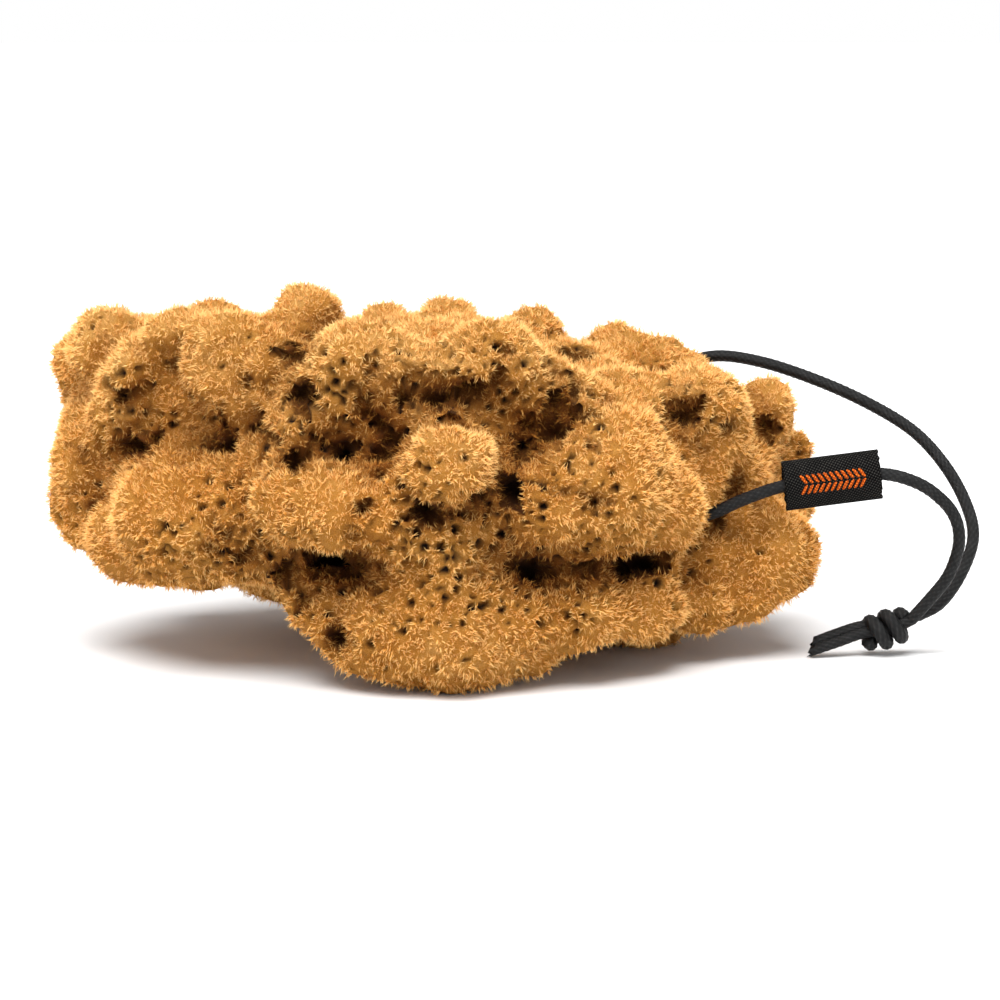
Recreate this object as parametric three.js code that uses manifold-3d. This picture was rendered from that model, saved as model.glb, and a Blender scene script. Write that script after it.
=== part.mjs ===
// A natural bath sponge on a loop of black waxed cord, as sold for the shower.
// One grown sponge with a cord threaded through it, a folded woven label on the cord,
// and the cord's two ends tied together in an overhand knot.
// Millimetres, +Z up. The origin is under the middle of the sponge, on the surface it rests on.
// The sponge's front faces -Y, and +X is to the right of someone who looks at that front.
import * as THREE from "three";
import { mergeVertices } from "three/addons/utils/BufferGeometryUtils.js";
import { SimplexNoise } from "three/addons/math/SimplexNoise.js";
import Module from "manifold-3d";

const wasm = await Module();
wasm.setup();

// Driving dimensions

const CORD_DIAMETER = 2.5;
const CORD_SIDES = 8;
const CORD_STEPS = 46;
const CORD_CLEARANCE = 0.45; // between the cord and the sponge's tunnel
const CORD_TENSION = 0.5; // of the smooth curve through the cord's route
const TOUCH_GAP = 0.35; // between pieces that meet face to face
const LABEL_LENGTH = 18.4;
const LABEL_HEIGHT = 9.2;
const LABEL_WALL = 0.45;
const LABEL_BULGE = 2.6; // half thickness where the cord swells the label
const LABEL_ROUNDING = 0.45; // share of the half height over which the bulge stays full
const LABEL_SEGMENTS = 10;
const KNOT_TURNS = 2.6;
const KNOT_WRAP_RADIUS = 2.7; // from the knot's axis to the middle of the strand wound round it
const KNOT_STRAND = 1.45; // radius of that strand, a little flattened by the pull
const KNOT_CORE = 2.0;
const KNOT_LENGTH = 8.2; // along the axis, over the wound turns
const KNOT_STEPS = 30;
const TAIL_STEPS = 5;
const LUMP_BLEND = 1.5; // how softly neighbouring lumps run together
const RIPPLE_HEIGHT = 0.9; // uneven growth on top of the lumps
const RIPPLE_PITCH = 11;
const RIPPLE_SEED = 7;
const NET_CELL = 5.1; // grid that the sponge's surface is cut into
const TIGHTEN_ROUNDS = 5;
const TIGHTEN_SHARE = 0.4;
const PIT_SIDES = 8;
const PIT_RINGS = 5;
const PIT_SINK = 0.25; // share of a pit's depth that its widest ring lies below the mouth
const REACH = 140; // farther out than any part of the sponge
const WALK_STEPS = 200;
const WALK_SHARE = 0.8;
const CLOSE_ENOUGH = 0.01;
const MERGE_DISTANCE = 1e-4;

const SPONGE_COLOUR = 0xc08a48;
const CORD_COLOUR = 0x1d1d1e;
const LABEL_COLOUR = 0x0b0b0c;
const SPONGE_ROUGHNESS = 0.95;
const CORD_ROUGHNESS = 0.6;
const LABEL_ROUGHNESS = 0.75;

// The sponge's lumps, each as x, y, z and radius

const CORE_LUMPS = [
  [-44, 8, 43, 21],
  [-24, 6, 37, 28],
  [0, 6, 33, 32],
  [24, 8, 31, 29],
  [44, 8, 30, 20],
  [-22, -10, 36, 22],
  [1, -12, 35, 26],
  [24, -10, 33, 22],
  [-46, 0, 43, 15],
  [50, 0, 32, 15],
];

const LEFT_LUMPS = [
  [-63, 1, 60, 7], // crown
  [-70, 12, 56, 5.5], // fold behind the crown's edge
  [-49, -12, 64, 5], // ridge beside the crown, from the top down
  [-56, -10, 57, 4.5],
  [-59, -6, 48, 6],
  [-37, -16, 59, 9], // plateau
  [-28, -20, 57, 6.5],
  [-68, 4, 44, 5], // outer edge, from the top down
  [-67, 0, 36, 7],
  [-67, 2, 28, 7],
  [-47, -14, 29, 12.5], // belly
  [-37, -22, 26, 8],
  [-58, -6, 24, 8.5],
  [-43, -12, 20, 5],
];

const MIDDLE_LUMPS = [
  [-24, -8, 66, 7], // highest lump
  [-14, -26, 58, 10.5],
  [-24, -26, 48, 6.5],
  [-5, -28, 56, 7],
  [4, -28, 58, 7],
  [12, -26, 59, 9.5],
  [-24, -37, 36, 8], // shelf
  [-16, -41, 34, 7.5],
  [-9, -41, 33, 6.5],
  [-25, -30, 22, 4.5], // under the shelf
  [-21, -32, 16, 6.5],
  [-16, -34, 10, 6],
  [4, -43, 44, 8.5], // round knob
  [1, -37, 24, 7.5], // bottom lobe
  [-6, -34, 12, 10.5],
  [4, -34, 11, 12],
  [15, -31, 11.5, 10],
];

const RIGHT_LUMPS = [
  [31, -27, 38, 14], // big lobe
  [42, -20, 32, 10],
  [20, -35, 35, 8],
  [34, -22, 45, 9],
  [23, -26, 53, 8],
  [35, -14, 51, 7.5],
  [29, -30, 14, 8], // foot
  [40, -22, 13, 8],
  [51, -10, 12, 7.5],
  [50, -10, 49, 9.5], // shoulder
  [56, -8, 46, 5],
  [53, -8, 37, 4.5],
  [65, 8, 46, 7], // end, from the top down
  [72, 17, 38, 4.5],
  [70.5, 12, 27, 6],
  [64.5, -2, 20, 10.5],
  [60, -6, 13, 6],
];

const BACK_LUMPS = [
  [50, 22, 26, 15], // mass between the upright lumps
  [28, 28, 28, 17],
  [4, 28, 34, 17],
  [-18, 26, 38, 16],
  [-40, 20, 40, 15],
  [-60, 18, 57, 7], // along the top's far edge
  [-44, 15, 62, 5.5],
  [-10, 18, 61.5, 6],
  [3, 22, 61.5, 6.5],
  [19, 17, 60.5, 6.5],
  [36, 22, 57, 6],
  [43, 16, 54.5, 6],
  [51, 18, 53, 5],
  [60, 24, 32, 11], // upright lumps of the back
  [58, 26, 14, 9],
  [44, 32, 38, 11],
  [36, 38, 20, 12],
  [18, 40, 40, 11],
  [12, 42, 16, 10],
  [-4, 38, 52, 10],
  [-10, 42, 30, 10],
  [-28, 38, 44, 12],
  [-32, 34, 20, 11],
  [-50, 28, 48, 10],
  [-54, 26, 30, 10],
  [-66, 16, 44, 7],
];

const FOOT_LUMPS = [
  [-14, 26, 9, 12],
  [-4, 6, 8, 14],
  [24, 26, 9, 13],
  [40, 10, 9, 12],
  [14, -8, 8, 14],
];

const LUMPS = [
  ...CORE_LUMPS,
  ...LEFT_LUMPS,
  ...MIDDLE_LUMPS,
  ...RIGHT_LUMPS,
  ...BACK_LUMPS,
  ...FOOT_LUMPS,
];

// Pits: the large holes that water left the sponge by.
// Each is given where it shows on a face, as across, up, width, height and depth

const FRONT_PITS = [
  [-57, 42, 6, 5, 8], // left part
  [-51.5, 43, 5, 5, 8],
  [-38, 44, 6.5, 5.5, 9],
  [-48, 58, 5, 6, 7],
  [-57.5, 52.5, 5, 4.5, 7],
  [-23, 54, 6, 7, 9], // middle, from the top down
  [4, 52, 14, 4, 7],
  [-24.5, 44, 6, 6.5, 9],
  [-16, 43, 6, 5, 8],
  [-0.5, 34, 6.5, 5, 9],
  [15, 38, 5.5, 8, 10],
  [-19, 23.5, 10, 5, 7],
  [18, 21.5, 8, 4.5, 8],
  [-23.5, 18, 5.5, 5.5, 7],
  [-16.5, 11.5, 5.5, 5, 7],
  [24, 51, 7, 7, 7], // right part
  [47, 50, 8.5, 8, 8],
  [64.5, 43.5, 6, 6.5, 7],
  [58.5, 35.5, 5.5, 6.5, 8],
  [39, 22, 14, 4.5, 9],
  [55, 26.5, 5, 6, 7],
];
const TOP_PITS = [
  [-50, 4, 8, 7, 9],
  [-12, 4, 9, 8, 10],
  [28, 4, 8, 8, 9],
];
const BACK_PITS = [
  [-44, 38, 9, 8, 11],
  [-20, 36, 8, 9, 11],
  [4, 30, 10, 8, 12],
  [28, 34, 9, 8, 11],
  [50, 24, 8, 8, 10],
];

const FACES = [
  { pits: FRONT_PITS, outside: ([across, up]) => [across, -REACH, up], inward: [0, 1, 0] },
  { pits: TOP_PITS, outside: ([across, up]) => [across, up, REACH], inward: [0, 0, -1] },
  { pits: BACK_PITS, outside: ([across, up]) => [across, REACH, up], inward: [0, -1, 0] },
];

// The cord's route: out of the knot, through the label, into the sponge, out behind it and back

const CORD_ROUTE = [
  [91.9, -5.6, 7.3],
  [95.2, -6.4, 11.4],
  [98.2, -7.2, 15.5],
  [99.8, -8.0, 19.5],
  [100.4, -8.8, 23.8],
  [99.4, -9.7, 28.0],
  [96.6, -10.7, 31.7],
  [91.6, -11.9, 35.2],
  [84.4, -13.0, 37.1], // right end of the label
  [75.2, -13.5, 36.0],
  [66.0, -14.0, 34.9], // left end of the label
  [58.5, -14.2, 32.4],
  [52.4, -13.6, 29.6], // into the sponge
  [46.5, -10.5, 28.0],
  [42.0, -3.5, 28.6],
  [40.5, 6.0, 31.5],
  [40.5, 16.0, 36.0],
  [41.5, 26.0, 41.5],
  [44.0, 35.0, 47.5], // out of the sponge, behind
  [49.5, 38.5, 52.0],
  [56.6, 36.5, 54.2],
  [65.3, 30.5, 53.6],
  [75.4, 24.5, 50.8],
  [85.2, 18.5, 46.9],
  [93.8, 13.0, 42.0],
  [99.5, 8.5, 36.0],
  [103.4, 4.8, 29.0],
  [104.7, 1.6, 22.6],
  [102.4, -0.6, 16.0],
  [98.2, -2.0, 10.1],
  [93.5, -2.3, 7.4],
];
const LABEL_ENDS = [8, 10]; // the route's points at the label's right and left ends

// The knot's place, and the two cut tails that lie beside it

const KNOT_MIDDLE = [87.2, -4.3, 5.2];
const KNOT_HEAD = [92.0, -4.0, 7.0]; // where the two strands of the loop come in
const TAILS = [
  [[87.0, -5.2, 5.2], [82.5, -5.4, 4.9], [77.6, -6.4, 3.3], [72.8, -6.8, 1.5]],
  [[87.0, -3.6, 6.6], [81.7, -3.6, 6.5], [77.0, -4.4, 4.9], [72.6, -5.0, 3.2]],
];

const UP = new THREE.Vector3(0, 0, 1);
const FRONT = new THREE.Vector3(0, -1, 0);
const AXES = [new THREE.Vector3(1, 0, 0), new THREE.Vector3(0, 1, 0), UP];
const point = ([x, y, z]) => new THREE.Vector3(x, y, z);

// Joining and cutting closed meshes

function solidOf(geometry, matrix = new THREE.Matrix4()) {
  const bare = new THREE.BufferGeometry();
  const source = geometry.index ? geometry.toNonIndexed() : geometry;
  bare.setAttribute("position", source.getAttribute("position").clone());
  bare.applyMatrix4(matrix);
  const merged = mergeVertices(bare, MERGE_DISTANCE);
  const vertProperties = new Float32Array(merged.attributes.position.array);
  const triVerts = new Uint32Array(merged.index.array);
  return new wasm.Manifold(new wasm.Mesh({ numProp: 3, vertProperties, triVerts }));
}

function geometryOf(solid) {
  const mesh = solid.getMesh();
  const geometry = new THREE.BufferGeometry();
  geometry.setAttribute("position", new THREE.BufferAttribute(mesh.vertProperties, mesh.numProp));
  geometry.setIndex(new THREE.BufferAttribute(mesh.triVerts, 1));
  geometry.computeVertexNormals();
  return geometry;
}

const largestPiece = (solid) =>
  solid.decompose().reduce((best, piece) => (piece.volume() > best.volume() ? piece : best));

function cutFlatBelow(solid) {
  const ground = new THREE.BoxGeometry(2 * REACH, 2 * REACH, REACH).translate(0, 0, -REACH / 2);
  return solid.subtract(solidOf(ground));
}

// A tube with flat ends along a curve
function tube(curve, radius, steps) {
  const section = new THREE.Shape();
  for (let i = 0; i < CORD_SIDES; i++) {
    const angle = (2 * Math.PI * i) / CORD_SIDES;
    const corner = [radius * Math.cos(angle), radius * Math.sin(angle)];
    if (i === 0) section.moveTo(...corner);
    else section.lineTo(...corner);
  }
  return new THREE.ExtrudeGeometry(section, { steps, extrudePath: curve, bevelEnabled: false });
}

const cordCurve = new THREE.CatmullRomCurve3(CORD_ROUTE.map(point), false, "catmullrom", CORD_TENSION);

// How far a place is from the lumps, which run together softly, and which way is straight out of them

const lumps = LUMPS.map((lump) => ({ centre: point(lump), radius: lump[3] }));

function lumpField(place) {
  const outward = new THREE.Vector3();
  const arm = new THREE.Vector3();
  let sum = 0;
  for (const { centre, radius } of lumps) {
    arm.subVectors(place, centre);
    const reach = arm.length();
    const pull = Math.exp((radius - reach) / LUMP_BLEND);
    sum += pull;
    outward.addScaledVector(arm, pull / reach);
  }
  return { distance: -LUMP_BLEND * Math.log(sum), outward: outward.normalize() };
}

// Walks in from outside, in short steps, until it meets the lumps
function meetLumps(from, direction) {
  const place = from.clone();
  for (let step = 0; step < WALK_STEPS; step++) {
    const { distance } = lumpField(place);
    if (distance < CLOSE_ENOUGH) break;
    place.addScaledVector(direction, WALK_SHARE * distance);
  }
  return place;
}

// A grid of points over the lumps, each of them inside or outside.
// A cleft too narrow for the grid, where the four points of a square alternate, is filled
function gridOverLumps() {
  const box = new THREE.Box3();
  for (const { centre, radius } of lumps) {
    const lumpBox = new THREE.Box3(centre.clone(), centre.clone());
    box.union(lumpBox.expandByScalar(radius + 2 * NET_CELL));
  }
  const count = box.getSize(new THREE.Vector3()).divideScalar(NET_CELL).ceil();
  const at = (spot) => spot.clone().multiplyScalar(NET_CELL).add(box.min);
  const keyOf = ({ x, y, z }) => x + count.x * (y + count.y * z);
  const spots = [];
  for (let i = 0; i < count.x * count.y * count.z; i++) {
    const y = Math.floor(i / count.x) % count.y;
    const z = Math.floor(i / (count.x * count.y));
    spots.push(new THREE.Vector3(i % count.x, y, z));
  }
  const inside = spots.map((spot) => lumpField(at(spot)).distance < 0);
  const isInside = (spot) => inside[keyOf(spot)] ?? false;
  let filling = true;
  while (filling) {
    filling = false;
    for (const spot of spots) {
      AXES.forEach((axis, n) => {
        const beside = spot.clone().add(AXES[(n + 1) % 3]);
        const square = [spot, spot.clone().add(axis), beside.clone().add(axis), beside];
        const [a, b, c, d] = square.map(isInside);
        if (a !== c || b !== d || a === b) return;
        square.forEach((corner) => (inside[keyOf(corner)] = true));
        filling = true;
      });
    }
  }
  return { spots, at, keyOf, isInside };
}

// The outside of the lumps as a net laid over the grid: each cell that the surface passes through holds
// one corner, and each grid line that it crosses is covered by the four corners round it
function netOverLumps() {
  const { spots, at, keyOf, isInside } = gridOverLumps();
  const corners = new Map();
  const places = [];
  const cornerIn = (cell) => {
    const key = keyOf(cell);
    if (!corners.has(key)) {
      corners.set(key, places.length);
      places.push(at(cell).addScalar(NET_CELL / 2));
    }
    return corners.get(key);
  };
  const quads = [];
  for (const spot of spots) {
    AXES.forEach((axis, n) => {
      const leaves = isInside(spot);
      if (leaves === isInside(spot.clone().add(axis))) return;
      const across = AXES[(n + 1) % 3];
      const below = spot.clone().sub(AXES[(n + 2) % 3]);
      const round = [below.clone().sub(across), below, spot, spot.clone().sub(across)].map(cornerIn);
      quads.push(leaves ? round : round.reverse());
    });
  }
  return { places, quads };
}

// Draws the net tight: each corner moves between its neighbours, then straight onto the lumps
function drawTight(places, quads) {
  const neighbours = places.map(() => new Set());
  quads.forEach((quad) =>
    quad.forEach((corner, n) => {
      const next = quad[(n + 1) % 4];
      neighbours[corner].add(next);
      neighbours[next].add(corner);
    }),
  );
  let settled = places;
  for (let round = 0; round < TIGHTEN_ROUNDS; round++) {
    settled = settled.map((place, i) => {
      const middle = new THREE.Vector3();
      neighbours[i].forEach((near) => middle.add(settled[near]));
      const moved = place.clone().lerp(middle.divideScalar(neighbours[i].size), TIGHTEN_SHARE);
      const { distance, outward } = lumpField(moved);
      return moved.addScaledVector(outward, -distance);
    });
  }
  return settled;
}

// A repeatable run of numbers from 0 to 1
function numberRun(seed) {
  const most = 2147483647;
  const stride = 16807;
  let last = seed;
  return () => {
    last = (last * stride) % most;
    return last / most;
  };
}

function lumpySkin() {
  const { places, quads } = netOverLumps();
  const noise = new SimplexNoise({ random: numberRun(RIPPLE_SEED) });
  const skin = drawTight(places, quads).map((place) => {
    const [u, v, w] = place.toArray().map((size) => size / RIPPLE_PITCH);
    const { outward } = lumpField(place);
    return place.clone().addScaledVector(outward, RIPPLE_HEIGHT * noise.noise3d(u, v, w));
  });
  const triangles = quads.flatMap(([a, b, c, d]) => {
    const cutAC = skin[a].distanceTo(skin[c]) < skin[b].distanceTo(skin[d]);
    return cutAC ? [a, b, c, a, c, d] : [a, b, d, b, c, d];
  });
  return new THREE.BufferGeometry().setFromPoints(skin).setIndex(triangles);
}

// A pit is a bowl that leans between straight out of the lumps and straight out of its face
function pitPlace({ outside, inward }, pit) {
  const [, , wide, tall, deep] = pit;
  const mouth = meetLumps(point(outside(pit)), point(inward));
  const outward = lumpField(mouth).outward.addScaledVector(point(inward), -1).normalize();
  const middle = mouth.addScaledVector(outward, -PIT_SINK * deep);
  const turn = new THREE.Quaternion().setFromUnitVectors(UP, outward);
  const halfSize = new THREE.Vector3(wide / 2, tall / 2, (1 - PIT_SINK) * deep);
  return new THREE.Matrix4().compose(middle, turn, halfSize);
}

// The sponge: lumps over the origin, cut flat where they rest, with their pits and the cord's tunnel
function spongeGeometry() {
  const skin = lumpySkin();
  skin.computeBoundingBox();
  const middle = skin.boundingBox.getCenter(new THREE.Vector3());
  const overOrigin = new THREE.Matrix4().makeTranslation(-middle.x, -middle.y, 0);
  let sponge = cutFlatBelow(solidOf(skin, overOrigin));
  const bowl = new THREE.SphereGeometry(1, PIT_SIDES, PIT_RINGS).rotateX(Math.PI / 2);
  for (const face of FACES) {
    for (const pit of face.pits) {
      const place = overOrigin.clone().multiply(pitPlace(face, pit));
      sponge = sponge.subtract(solidOf(bowl, place));
    }
  }
  const tunnel = tube(cordCurve, CORD_DIAMETER / 2 + CORD_CLEARANCE, CORD_STEPS);
  sponge = sponge.subtract(solidOf(tunnel));
  return geometryOf(largestPiece(sponge));
}

// The label: a woven ribbon folded round the cord into a flat sleeve with two pinched edges
function labelSection(path, halfHeight, bulge) {
  const full = halfHeight * LABEL_ROUNDING;
  path.moveTo(0, -halfHeight);
  path.bezierCurveTo(bulge, -full, bulge, full, 0, halfHeight);
  path.bezierCurveTo(-bulge, full, -bulge, -full, 0, -halfHeight);
  return path;
}

function labelMesh() {
  const section = labelSection(new THREE.Shape(), LABEL_HEIGHT / 2, LABEL_BULGE);
  const insideHeight = LABEL_HEIGHT / 2 - 2 * LABEL_WALL;
  section.holes.push(labelSection(new THREE.Path(), insideHeight, LABEL_BULGE - LABEL_WALL));
  const options = { depth: LABEL_LENGTH, curveSegments: LABEL_SEGMENTS, bevelEnabled: false };
  const sleeve = new THREE.ExtrudeGeometry(section, options).translate(0, 0, -LABEL_LENGTH / 2);
  const [right, left] = LABEL_ENDS.map((i) => point(CORD_ROUTE[i]));
  const along = right.clone().sub(left).normalize();
  const upright = new THREE.Vector3().crossVectors(along, FRONT).normalize();
  const through = new THREE.Vector3().crossVectors(upright, along);
  const mesh = named("label", sleeve, LABEL_COLOUR, LABEL_ROUGHNESS);
  mesh.quaternion.setFromRotationMatrix(new THREE.Matrix4().makeBasis(through, upright, along));
  mesh.position.copy(right).lerp(left, 0.5);
  return mesh;
}

// The strand that winds round the knot's axis
class Winding extends THREE.Curve {
  constructor(middle, axis) {
    super();
    this.middle = middle;
    this.axis = axis;
    this.side = new THREE.Vector3().crossVectors(axis, FRONT).normalize();
    this.back = new THREE.Vector3().crossVectors(axis, this.side);
  }

  getPoint(t, target = new THREE.Vector3()) {
    const angle = 2 * Math.PI * KNOT_TURNS * t;
    return target
      .copy(this.middle)
      .addScaledVector(this.axis, KNOT_LENGTH * (t - 0.5))
      .addScaledVector(this.side, KNOT_WRAP_RADIUS * Math.cos(angle))
      .addScaledVector(this.back, KNOT_WRAP_RADIUS * Math.sin(angle));
  }
}

// The knot: both ends of the cord wound round themselves, with their two cut tails
function knotGeometry() {
  const middle = point(KNOT_MIDDLE);
  const head = point(KNOT_HEAD);
  const axis = head.clone().sub(middle).normalize();
  const heel = middle.clone().addScaledVector(axis, -KNOT_LENGTH / 2);
  let knot = solidOf(tube(new THREE.LineCurve3(heel, head), KNOT_CORE, 1));
  knot = knot.add(solidOf(tube(new Winding(middle, axis), KNOT_STRAND, KNOT_STEPS)));
  for (const tail of TAILS) {
    const curve = new THREE.CatmullRomCurve3(tail.map(point));
    knot = knot.add(solidOf(tube(curve, CORD_DIAMETER / 2, TAIL_STEPS)));
  }
  const cordWithGap = tube(cordCurve, CORD_DIAMETER / 2 + TOUCH_GAP, CORD_STEPS);
  return geometryOf(largestPiece(cutFlatBelow(knot).subtract(solidOf(cordWithGap))));
}

function named(name, geometry, colour, roughness) {
  const material = new THREE.MeshStandardMaterial({ color: colour, roughness, metalness: 0 });
  const mesh = new THREE.Mesh(geometry, material);
  mesh.name = name;
  return mesh;
}

const cordGeometry = tube(cordCurve, CORD_DIAMETER / 2, CORD_STEPS);

const bathSponge = new THREE.Group();
bathSponge.add(
  named("sponge", spongeGeometry(), SPONGE_COLOUR, SPONGE_ROUGHNESS),
  named("cord", cordGeometry, CORD_COLOUR, CORD_ROUGHNESS),
  named("knot", knotGeometry(), CORD_COLOUR, CORD_ROUGHNESS),
  labelMesh(),
);

export default bathSponge;
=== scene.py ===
# %% [markdown]
# # A natural bath sponge on a cord loop
# A dry sea sponge, golden tan and full of holes, with a loop of black waxed cord through one end. A small
# ribbon label sits on the cord, and the cord's two ends are tied in an overhand knot. This lesson dresses
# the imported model: it keeps every piece where the model has it, in metres, and gives each one its real
# surface. The camera and the cord come first, because everything else is judged through them.

# %% Load the model
import math

import bpy
import numpy as np
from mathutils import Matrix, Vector, noise
from mathutils.bvhtree import BVHTree
from mathutils.kdtree import KDTree


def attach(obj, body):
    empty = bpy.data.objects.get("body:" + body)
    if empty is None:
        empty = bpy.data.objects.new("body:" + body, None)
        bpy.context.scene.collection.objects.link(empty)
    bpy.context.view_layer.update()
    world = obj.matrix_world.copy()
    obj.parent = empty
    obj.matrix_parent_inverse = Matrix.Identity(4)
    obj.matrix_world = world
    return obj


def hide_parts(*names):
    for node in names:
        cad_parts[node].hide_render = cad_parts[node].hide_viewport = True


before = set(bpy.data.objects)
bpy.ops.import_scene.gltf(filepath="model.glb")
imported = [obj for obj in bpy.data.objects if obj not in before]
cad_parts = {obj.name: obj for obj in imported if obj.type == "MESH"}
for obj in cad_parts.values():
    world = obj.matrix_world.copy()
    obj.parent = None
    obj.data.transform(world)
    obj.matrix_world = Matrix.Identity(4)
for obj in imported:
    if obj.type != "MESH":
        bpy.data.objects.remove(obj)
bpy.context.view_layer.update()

MM = 0.001
BODY = "root"
scene = bpy.context.scene

# %% [markdown]
# ## The camera
# The photograph was taken from just above table height, from about arm's length, with a longish lens. A
# camera can be set by a focal length or by how much of the object it takes in. The second is easier to
# read off a picture, so the lens is worked out from the width that the frame shows where the camera aims.

# %% Place the camera
VIEW_RISE = math.radians(9)
VIEW_DISTANCE = 600 * MM
FRAME_WIDTH = 195 * MM
AIM = Vector((12, 0, 30)) * MM
SENSOR = 36

camera_data = bpy.data.cameras.new("camera")
camera_data.sensor_width = SENSOR
camera_data.lens = SENSOR * VIEW_DISTANCE / FRAME_WIDTH
camera = bpy.data.objects.new("camera", camera_data)
towards_camera = Vector((0, -math.cos(VIEW_RISE), math.sin(VIEW_RISE)))
camera.location = AIM + VIEW_DISTANCE * towards_camera
camera.rotation_euler = towards_camera.to_track_quat("Z", "Y").to_euler()
scene.collection.objects.link(camera)
scene.camera = camera
print("lens", round(camera_data.lens, 1), "mm, camera at", [round(c / MM) for c in camera.location], "mm")

# %% [markdown]
# ## Helpers for meshes
# Most pieces here are swept or scattered by formulas, so their corners are numpy arrays. One helper turns
# arrays into a Blender mesh, gives it a material and makes it ride on the model. It can also store a named
# value on each corner, which a material reads later with an Attribute node: how deep in a hollow it lies,
# for instance.

# %% Turn arrays into a piece
def new_piece(name, points, faces, material, smooth=True, values=None):
    mesh = bpy.data.meshes.new(name)
    mesh.from_pydata(points.tolist(), [], faces.tolist() if hasattr(faces, "tolist") else faces)
    mesh.polygons.foreach_set("use_smooth", np.full(len(mesh.polygons), smooth))
    for value_name, numbers in (values or {}).items():
        attribute = mesh.attributes.new(value_name, "FLOAT", "POINT")
        attribute.data.foreach_set("value", np.asarray(numbers, np.float32))
    mesh.materials.append(material)
    piece = bpy.data.objects.new(name, mesh)
    scene.collection.objects.link(piece)
    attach(piece, BODY)
    return piece


SHORTEST = 1e-12


def unit(vectors):
    return vectors / np.maximum(np.linalg.norm(vectors, axis=-1, keepdims=True), SHORTEST)


def triangle_count(piece):
    return sum(len(face.vertices) - 2 for face in piece.data.polygons)


# %% [markdown]
# ## Helpers for materials
# Each finish is a node material. Four small helpers keep the cells short: one starts a material that holds
# only its Principled shader, one adds a node, sets its values and links its inputs in a single call, one
# adds a colour ramp, and one adds a bump.

# %% Start a material, add a node
def new_material(name, roughness):
    material = bpy.data.materials.new(name)
    material.use_nodes = True
    shader = material.node_tree.nodes["Principled BSDF"]
    shader.inputs["Roughness"].default_value = roughness
    return material, material.node_tree, shader


def add_node(tree, kind, inputs=None, **settings):
    node = tree.nodes.new(kind)
    for name, value in settings.items():
        setattr(node, name, value)
    for name, value in (inputs or {}).items():
        if isinstance(value, bpy.types.NodeSocket):
            tree.links.new(value, node.inputs[name])
        else:
            node.inputs[name].default_value = value
    return node


def add_ramp(tree, factor, stops):
    ramp = add_node(tree, "ShaderNodeValToRGB", {"Fac": factor})
    elements = ramp.color_ramp.elements
    while len(elements) < len(stops):
        elements.new(0.5)
    for element, (place, colour) in zip(elements, stops):
        element.position = place
        element.color = (*colour, 1)
    return ramp.outputs["Color"]


def add_bump(tree, shader, height, strength, depth):
    bump = add_node(tree, "ShaderNodeBump", {"Height": height, "Strength": strength, "Distance": depth})
    tree.links.new(bump.outputs["Normal"], shader.inputs["Normal"])


# %% [markdown]
# ## The cord's line
# The cord is a braided, waxed cord of 2.5 mm. It leaves the knot, runs through the label and into the
# front of the sponge, comes out behind and returns to the knot. Its line is a Catmull-Rom curve, which
# passes through every point that it is given. A Blender curve object could do this with a bevel, but a
# bevel has no braid on it, so the line is sampled here and a mesh is swept along it.

# %% Sample the cord's line
CORD_DIAMETER = 2.5 * MM
CORD_TENSION = 0.5
CORD_ROUTE = np.array([
    (91.9, -5.6, 7.3), (95.2, -6.4, 11.4), (98.2, -7.2, 15.5), (99.8, -8.0, 19.5), (100.4, -8.8, 23.8),
    (99.4, -9.7, 28.0), (96.6, -10.7, 31.7), (91.6, -11.9, 35.2), (84.4, -13.0, 37.1), (75.2, -13.5, 36.0),
    (66.0, -14.0, 34.9), (58.5, -14.2, 32.4), (52.4, -13.6, 29.6), (46.5, -10.5, 28.0), (42.0, -3.5, 28.6),
    (40.5, 6.0, 31.5), (40.5, 16.0, 36.0), (41.5, 26.0, 41.5), (44.0, 35.0, 47.5), (49.5, 38.5, 52.0),
    (56.6, 36.5, 54.2), (65.3, 30.5, 53.6), (75.4, 24.5, 50.8), (85.2, 18.5, 46.9), (93.8, 13.0, 42.0),
    (99.5, 8.5, 36.0), (103.4, 4.8, 29.0), (104.7, 1.6, 22.6), (102.4, -0.6, 16.0), (98.2, -2.0, 10.1),
    (93.5, -2.3, 7.4),
]) * MM
LABEL_RIGHT, LABEL_LEFT = CORD_ROUTE[8], CORD_ROUTE[10]
SAMPLES_PER_SPAN = 24


def evenly(line, step):
    lengths = np.concatenate([[0], np.cumsum(np.linalg.norm(np.diff(line, axis=0), axis=1))])
    places = np.linspace(0, lengths[-1], max(2, round(lengths[-1] / step) + 1))
    return np.stack([np.interp(places, lengths, line[:, axis]) for axis in range(3)], axis=1)


def smooth_line(route, step):
    ends = np.vstack([2 * route[0] - route[1], route, 2 * route[-1] - route[-2]])
    share = np.linspace(0, 1, SAMPLES_PER_SPAN, endpoint=False)[:, None]
    spans = []
    for before, start, end, after in zip(ends, ends[1:], ends[2:], ends[3:]):
        leave, arrive = CORD_TENSION * (end - before), CORD_TENSION * (after - start)
        square = -3 * start + 3 * end - 2 * leave - arrive
        cube = 2 * start - 2 * end + leave + arrive
        spans.append(start + share * (leave + share * (square + share * cube)))
    return evenly(np.vstack([*spans, route[-1:]]), step)


CORD_STEP = 0.33 * MM
cord_line = smooth_line(CORD_ROUTE, CORD_STEP)
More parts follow.
